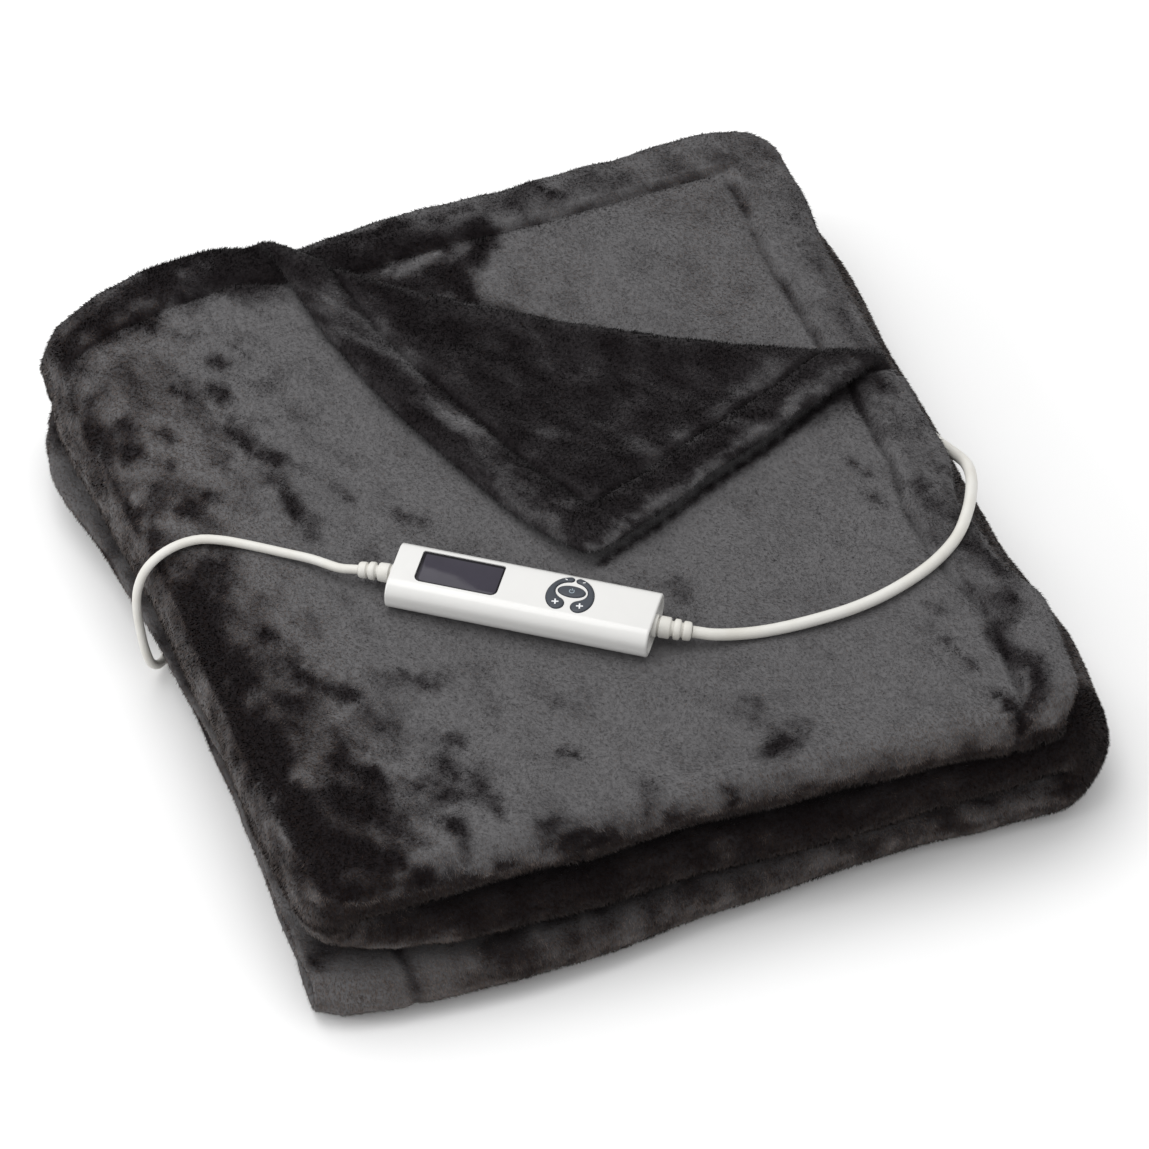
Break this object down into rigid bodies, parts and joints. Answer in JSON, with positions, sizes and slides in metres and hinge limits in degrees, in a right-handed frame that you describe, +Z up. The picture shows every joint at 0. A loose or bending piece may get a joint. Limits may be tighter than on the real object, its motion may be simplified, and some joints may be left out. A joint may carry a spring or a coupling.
{
  "type": "electric heated blanket",
  "caption": "Plush electric heated throw folded into a stack with a corner turned back, its slim handset on top and its mains lead put away behind.",
  "frame": {"origin": "on the surface that the stack rests on, close to the middle of its underside", "axes": "+X along the front of the stack to the right, +Y from its front to its back, +Z up"},
  "size_m": [0.4577, 0.5346, 0.112],
  "materials": {
    "plush": "short plush pile, anthracite, with darker patches where the nap lies the other way",
    "case_white": "glossy warm white",
    "cord_white": "satin warm white",
    "smoked_window": "polished smoked",
    "key_navy": "satin dark navy",
    "pin_nickel": "bright nickel plate"
  },
  "bodies": {
    "root": {"blanket": "plush", "case_top": "case_white", "case_bottom": "case_white", "display_window": "smoked_window", "relief_left": "cord_white", "relief_right": "cord_white", "blanket_lead": "cord_white", "mains_lead": "cord_white", "mains_hank": "cord_white", "hank_tie": "cord_white", "mains_tail": "cord_white", "plug_relief": "cord_white", "plug_body": "cord_white", "plug_pin_1": "pin_nickel", "plug_pin_2": "pin_nickel"},
    "left_key": {"key_left": "key_navy"},
    "right_key": {"key_right": "key_navy"},
    "power_key": {"key_power": "key_navy"}
  },
  "joints": [
    {"name": "key_left_rock", "type": "hinge", "parent": "root", "child": "left_key", "pos_m": [-0.02419, -0.07761, 0.1106], "axis": [0.8039, -0.5948, 0], "range_deg": [-3, 3], "stiffness_Nm_per_rad": 0.05},
    {"name": "key_right_rock", "type": "hinge", "parent": "root", "child": "right_key", "pos_m": [-0.02419, -0.07761, 0.1106], "axis": [0.8039, -0.5948, 0], "range_deg": [-3, 3], "stiffness_Nm_per_rad": 0.05},
    {"name": "key_power_press", "type": "slide", "parent": "root", "child": "power_key", "axis": [0, 0, -1], "range_m": [0, 0.0008], "stiffness_N_per_m": 300}
  ]
}
